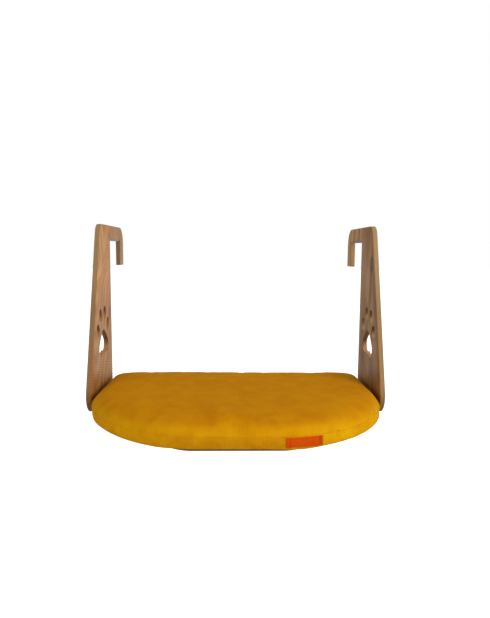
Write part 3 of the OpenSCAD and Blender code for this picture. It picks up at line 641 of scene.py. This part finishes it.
def swell(piece, look, held):
    group = piece.vertex_groups.new(name="held")
    for k, weight in held.items():
        group.add([k], weight, "REPLACE")
    before = [v.co.copy() for v in piece.data.vertices]
    scene = bpy.context.scene
    cloth = piece.modifiers.new("cloth", "CLOTH")
    cloth.settings.quality = 6
    cloth.settings.mass = 0.2
    cloth.settings.tension_stiffness = 18
    cloth.settings.compression_stiffness = 18
    cloth.settings.shear_stiffness = 6
    cloth.settings.bending_stiffness = 0.25
    cloth.settings.air_damping = 4
    cloth.settings.use_pressure = True
    cloth.settings.uniform_pressure_force = look["pressure"]
    cloth.settings.effector_weights.gravity = 0
    cloth.settings.vertex_group_mass = "held"
    cloth.settings.shrink_min = -look["spare"]
    cloth.collision_settings.use_collision = False
    for step in range(1, look["frames"] + 1):
        scene.frame_set(step)
    swollen = piece.evaluated_get(bpy.context.evaluated_depsgraph_get()).to_mesh()
    after = [v.co.copy() for v in swollen.vertices]
    piece.modifiers.remove(cloth)
    piece.vertex_groups.remove(group)
    for vert, start, end in zip(piece.data.vertices, before, after):
        move = end - start
        if move.length > 1e-9:
            move *= look["cap"] * math.tanh(move.length / look["cap"]) / move.length
        vert.co = start + move
    scene.frame_set(1)
    print("cushion blown up, largest move", round(max((a - b).length for a, b in zip(after, before)) / mm, 2), "mm")


def dressCushion(look):
    form, points, outward = sewCushion(look)
    station, row = form.verts.layers.int["station"], form.verts.layers.int["row"]
    form.verts.ensure_lookup_table()
    rows = [v[row] for v in form.verts]
    stations = [v[station] for v in form.verts]
    zipStart = len(points) // 2 - look["zipSteps"] - 2
    zipEnd = len(points) - zipStart
    held = {}
    for k, (level, at) in enumerate(zip(rows, stations)):
        if level in (-1, 0):
            held[k] = 1.0  # lies flat on the panel
        elif 0 < level and zipStart <= at <= zipEnd:
            held[k] = 1.0  # stiffened by the zip
        elif level == look["rows"]:
            held[k] = 0.6  # the seam hardly moves
    piece = finishPiece(form, "cushion", coverCord, "cushion",
                        ["cushion_core", "cover_top", "cover_band", "cover_bottom"], 180)
    swell(piece, look, held)
    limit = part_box("hanger_right")[0].x - look["sideRoom"]
    panelLow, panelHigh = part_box("base_panel")
    panelMiddle = (panelLow.z + panelHigh.z) / 2
    panel = bmesh.new()
    panel.from_mesh(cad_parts["base_panel"].data)
    panelTree = BVHTree.FromBMesh(panel)
    panel.free()
    total = [0.0]
    for k in range(len(points)):
        total.append(total[-1] + (points[(k + 1) % len(points)] - points[k]).length)
    for vert, level, at in zip(piece.data.vertices, rows, stations):
        if level == -2:
            slow = noise.noise(Vector((vert.co.x * look["dentWaves"], vert.co.y * look["dentWaves"], 0.7)))
            fold = noise.noise(Vector((vert.co.x * look["foldWaves"][0], vert.co.y * look["foldWaves"][1], 5.2)))
            vert.co.z += look["dent"] * (slow + look["foldShare"] * fold)
        elif 0 < level < look["rows"] and not zipStart <= at <= zipEnd:
            slant = total[at] - look["puckerSlant"] * (vert.co.z - bandLow.z)
            along, up = look["puckerWaves"]
            fold = look["pucker"] * noise.noise(Vector((slant * along, vert.co.z * up, 8.3)))
            vert.co.x += outward[at].x * min(0, fold)
            vert.co.y += outward[at].y * fold
        vert.co.x = max(-limit, min(limit, vert.co.x))
        vert.co.z = max(bandLow.z, vert.co.z)
        # Past the panel's edge nothing holds the rim up
        over, _, _, _ = panelTree.ray_cast(vert.co + Vector((0, 0, 5 * mm)), Vector((0, 0, -1)))
        if over is None:
            _, _, _, past = panelTree.find_nearest(Vector((vert.co.x, vert.co.y, panelMiddle)))
            share = min(1, past / look["droopOver"]) * max(0, 1 - (vert.co.z - bandLow.z) / (bandHigh.z - bandLow.z))
            for at, wide, deep in look["droops"]:
                vert.co.z -= deep * mm * share * math.exp(-((vert.co.x / mm - at) / wide) ** 2)
    form = bmesh.new()
    form.from_mesh(piece.data)
    form.verts.layers.float.new("seam")
    band = form.faces.layers.float.new("band")
    form.verts.ensure_lookup_table()
    for face in form.faces:
        face[band] = float(all(rows[v.index] >= 0 for v in face.verts))
    # Each seam becomes a narrow groove between two panels of cloth
    seams = [e for e in form.edges if rows[e.verts[0].index] == rows[e.verts[1].index]
             and rows[e.verts[0].index] in (0, look["rows"])]
    made = bmesh.ops.bevel(form, geom=seams, offset=look["groove"], segments=2, profile=0.5, affect="EDGES",
                           material=-1, clamp_overlap=True)
    form.normal_update()
    seam = form.verts.layers.float["seam"]
    lip = {face for face in made["faces"] if face.is_valid}
    sewn = {vert for face in lip for vert in face.verts}
    for vert in sewn:
        vert[seam] = 0.35
    middle = [v for v in sewn if all(f in lip for f in v.link_faces)]
    for vert in middle:
        vert[seam] = 1.0
        vert.co -= vert.normal * look["grooveDepth"]
    # Recess for the zip
    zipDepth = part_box("zip_slider")[0].y - look["zipRoom"]
    opening = []
    for face in form.faces:
        centre = face.calc_center_median()
        if (centre.y > bandHigh.y - 5 * mm and abs(centre.x) < zipTop[1].x
                and zipBottom[0].z < centre.z < zipTop[1].z):
            opening.append(face)
    bmesh.ops.inset_region(form, faces=opening, thickness=look["zipInset"], use_even_offset=True)
    for vert in {v for f in opening for v in f.verts}:
        vert.co.y = zipDepth
    # The cloth's own map: ribs run front to back on the flat panels and upright on the band
    finder = KDTree(len(points))
    for k, point in enumerate(points):
        finder.insert((point.x, point.y, 0), k)
    finder.balance()
    uv = form.loops.layers.uv.new("cloth")
    form.normal_update()
    for face in form.faces:
        flat = abs(face.normal.z) > look["flatFrom"]
        spots = []
        for loop in face.loops:
            co = loop.vert.co
            if flat:
                spots.append((co.x, co.y))
            else:
                _, k, _ = finder.find((co.x, co.y, 0))
                along = total[k] + (co.xy - points[k]).dot(Vector((-outward[k].y, outward[k].x)))
                spots.append((along, co.z))
        if not flat and max(s[0] for s in spots) - min(s[0] for s in spots) > total[-1] / 2:
            spots = [(s[0] + total[-1] if s[0] < total[-1] / 2 else s[0], s[1]) for s in spots]
        for loop, spot in zip(face.loops, spots):
            loop[uv].uv = spot
    sortForm(form)
    form.to_mesh(piece.data)
    form.free()
    piece.data.shade_smooth()
    finer = piece.modifiers.new("finer", "SUBSURF")
    finer.levels = finer.render_levels = 1
    return piece


cushion = dressCushion(cushionLook)
print("cushion made:", len(cushion.data.polygons), "faces before the last subdivision")

# Zip: tapes with a hem of the cover's cloth sewn along them, coils, stops, slider and pull
zipLook = {"tapeSteps": 60, "tapeRound": 0.2 * mm, "tapeWave": 0.08 * mm,
           "hemWidth": 2.9 * mm, "hemThick": 1.3 * mm, "hemOver": 0.3 * mm, "hemRound": 0.55 * mm, "hemWave": 0.15 * mm,
           "stitch": 2.6 * mm, "stitchGap": 3.6 * mm, "stitchStart": 4 * mm, "threadY": 0.22 * mm, "threadZ": 0.24 * mm,
           "broken": 0.22 * mm, "stopBroken": 0.3 * mm}  # how far the edges of the hard parts are broken


def zipStrip(low, high, steps, round_, wave):  # a long soft strip between two corners
    form = bmesh.new()
    size = high - low
    bmesh.ops.create_cube(form, size=1, matrix=Matrix.Translation((low + high) / 2) @ Matrix.Diagonal((*size, 1)))
    long = [e for e in form.edges if abs(e.verts[0].co.x - e.verts[1].co.x) > size.x / 2]
    bmesh.ops.subdivide_edges(form, edges=long, cuts=steps - 1, use_grid_fill=True)
    edges = [e for e in form.edges if len(e.link_faces) == 2 and e.calc_face_angle(0) > math.radians(50)]
    bmesh.ops.bevel(form, geom=edges, offset=round_, segments=3, profile=0.5, affect="EDGES", material=-1)
    for vert in form.verts:
        vert.co.y += wave * noise.noise(Vector((vert.co.x * 45, 0, vert.co.z * 20)))
    return form


for part in ("upper", "lower"):
    low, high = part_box("zip_tape_" + part)
    form = zipStrip(low, high, zipLook["tapeSteps"], zipLook["tapeRound"], zipLook["tapeWave"])
    finishPiece(form, "tape_" + part, zipTape, "cushion", ["zip_tape_" + part])
    hemLow, hemHigh = low.copy(), high.copy()
    if part == "upper":
        hemLow.z = high.z - zipLook["hemWidth"]
        hemHigh.z = high.z + zipLook["hemOver"]
    else:
        hemHigh.z = low.z + zipLook["hemWidth"]
        hemLow.z = low.z - zipLook["hemOver"]
    hemLow.y = high.y - zipLook["hemOver"]
    hemHigh.y = hemLow.y + zipLook["hemThick"]
    form = zipStrip(hemLow, hemHigh, zipLook["tapeSteps"], zipLook["hemRound"], zipLook["hemWave"])
    uv = form.loops.layers.uv.new("cloth")
    for face in form.faces:
        for loop in face.loops:
            loop[uv].uv = (loop.vert.co.x, loop.vert.co.z)
    finishPiece(form, "hem_" + part, coverCord, "cushion")
    form = bmesh.new()
    firstStitch = low.x + zipLook["stitchStart"]
    for k in range(int((high.x - firstStitch) / zipLook["stitchGap"])):
        at = Vector((firstStitch + k * zipLook["stitchGap"], hemHigh.y + 0.02 * mm, (hemLow.z + hemHigh.z) / 2))
        size = (zipLook["stitch"] / 2, zipLook["threadY"], zipLook["threadZ"], 1)
        lay = Matrix.Translation(at) @ Matrix.Diagonal(size)
        bmesh.ops.create_uvsphere(form, u_segments=8, v_segments=5, radius=1, matrix=lay)
    finishPiece(form, "hem_stitches_" + part, sewingThread, "cushion", sharpAt=180)
for name, material, slot, body, width in (
        ("coil_upper", coilNylon, "zip_plastic", "cushion", "broken"),
        ("coil_lower", coilNylon, "zip_plastic", "cushion", "broken"),
        ("stops", agedBrass, "zip_metal", "cushion", "stopBroken"),
        ("slider", agedBrass, "zip_metal", "slider", "broken"), ("pull", agedBrass, "zip_metal", "pull", "broken")):
    dressNode("zip_" + name, name, material, body, zipLook[width], angles=smallLook["metalAngles"])
print("zip made")

# Label: a bare woven tape, sewn to the band at both ends
labelLook = {
    "columns": 40, "rowsUp": 10, "lift": 0.35 * mm, "thick": 0.6 * mm, "fold": 4.5 * mm, "foldLift": 0.5 * mm,
    "over": 1.06,  # cut larger, as smoothing draws it in
    "aim": (-0.25, 1, 0), "reach": 40 * mm,  # from where it is laid onto the cloth
    "foldWidth": 1.2 * mm, "foldDark": 0.8, "endDark": 0.35,  # painted shade: how dark the folds and the folded end are drawn
    "smoothing": 0.4, "round": 0.15 * mm,
}


def sewLabel(look):
    low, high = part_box("side_label")
    settled = cushion.evaluated_get(bpy.context.evaluated_depsgraph_get())
    cloth = BVHTree.FromObject(settled, bpy.context.evaluated_depsgraph_get())
    form = bmesh.new()
    bmesh.ops.create_grid(form, x_segments=look["columns"], y_segments=look["rowsUp"], size=0.5)
    seam = form.verts.layers.float.new("seam")
    aim = Vector(look["aim"]).normalized()
    for vert in form.verts:
        x = low.x + (vert.co.x * look["over"] + 0.5) * (high.x - low.x)
        z = low.z + (vert.co.y * look["over"] + 0.5) * (high.z - low.z)
        hit, normal, _, _ = cloth.ray_cast(Vector((x, low.y, z)) - aim * look["reach"], aim)
        end = min(x - low.x, high.x - x)
        lift = look["lift"] + look["foldLift"] * max(0, 1 - (end / look["fold"]) ** 4)
        vert[seam] = max(0.0, 1 - abs(end - look["fold"]) / look["foldWidth"]) * look["foldDark"]
        if x > high.x - look["fold"]:
            vert[seam] = max(vert[seam], look["endDark"])
        vert.co = hit + normal * lift
    for _ in range(3):
        bmesh.ops.smooth_vert(form, verts=form.verts, factor=look["smoothing"], use_axis_x=True, use_axis_y=True,
                              use_axis_z=True)
    bmesh.ops.recalc_face_normals(form, faces=form.faces)
    if sum(f.normal.y for f in form.faces) > 0:
        bmesh.ops.reverse_faces(form, faces=form.faces)
    piece = finishPiece(form, "side_label_tape", labelTape, "cushion", ["side_label"], 60)
    thicken = piece.modifiers.new("thicken", "SOLIDIFY")
    thicken.thickness = look["thick"]
    thicken.offset = 1
    rounder = piece.modifiers.new("rounder", "BEVEL")
    rounder.width, rounder.segments, rounder.limit_method = look["round"], 2, "ANGLE"


sewLabel(labelLook)
print("label made")

# Floor, lights and camera
stageLook = {"floorDrop": 0.75, "floorHalf": 30.0, "background": 1.0, "floorGlow": 0.6,
             "below": 0.36, "above": 0.76,  # light from the room, under and over the bed
             "lightsAim": (0, -0.15, -0.2)}
floorForm = bmesh.new()
bmesh.ops.create_grid(floorForm, x_segments=1, y_segments=1, size=stageLook["floorHalf"],
                      matrix=Matrix.Translation((0, 0, cadLow.z - stageLook["floorDrop"])))
floorMesh = bpy.data.meshes.new("floor")
floorForm.to_mesh(floorMesh)
floorForm.free()
floor = bpy.data.objects.new("floor", floorMesh)
bpy.context.scene.collection.objects.link(floor)
floor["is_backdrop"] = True
floor.visible_diffuse = False  # it must not light the bed from below
# Matt paper of a photographer's sweep, faintly lit, so that the ground stays white
floorMesh.materials.append(startMaterial(
    "pale_floor", Roughness=0.95, Specular_IOR_Level=0.0, Base_Color=grey(0.97), Emission_Color=grey(1.0),
    Emission_Strength=stageLook["floorGlow"])[0])

world = bpy.data.worlds.new("studio")
bpy.context.scene.world = world
world.use_nodes = True
worldTree = world.node_tree
sky = worldTree.nodes["Background"]
seen = addNode(worldTree, "LightPath").outputs["Is Camera Ray"]
height = split(addNode(worldTree, "TexCoord").outputs["Generated"])["Z"]
ambient = mapRange(height, -0.8, 0.8, stageLook["below"], stageLook["above"], smooth=True)
sky.inputs["Color"].default_value = grey(1.0)
worldTree.links.new(mixValues(seen, ambient, stageLook["background"]), sky.inputs["Strength"])

lightLooks = (  # name, place, size, power, colour
    ("key", (1.45, -1.1, 0.95), 0.9, 17, "#fff6ea"),
    ("fill", (-1.5, -1.2, 0.5), 1.4, 5, "#f4f7ff"),
    ("front", (0.8, -2.1, -0.2), 1.4, 17, "#fffaf2"),
)
for name, place, size, power, colour in lightLooks:
    data = bpy.data.lights.new(name, "AREA")
    data.shape = "DISK"
    data.size = size
    data.energy = power
    data.color = toLinear(colour)[:3]
    lamp = bpy.data.objects.new(name, data)
    lamp.location = place
    lamp.rotation_mode = "QUATERNION"
    lamp.rotation_quaternion = (Vector(stageLook["lightsAim"]) - Vector(place)).to_track_quat("-Z", "Y")
    bpy.context.scene.collection.objects.link(lamp)

cameraLook = {"place": (-11.6 * mm, -1208.0 * mm, -21.95 * mm), "yaw": -0.0265, "down": 0.1105, "roll": -0.0076,
              "focalPixels": 520.3, "imageHeight": 618}
cameraData = bpy.data.cameras.new("camera")
cameraData.sensor_width = 36
cameraData.lens = cameraData.sensor_width * cameraLook["focalPixels"] / cameraLook["imageHeight"]
camera = bpy.data.objects.new("camera", cameraData)
camera.matrix_world = (Matrix.Translation(cameraLook["place"]) @ Matrix.Rotation(cameraLook["yaw"], 4, "Z")
                       @ Matrix.Rotation(-cameraLook["down"], 4, "X") @ Matrix.Rotation(cameraLook["roll"], 4, "Y")
                       @ Matrix.Rotation(math.pi / 2, 4, "X"))
bpy.context.scene.collection.objects.link(camera)
bpy.context.scene.camera = camera
bpy.context.scene.view_settings.view_transform = "Standard"
print("stage made")

low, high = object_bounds()
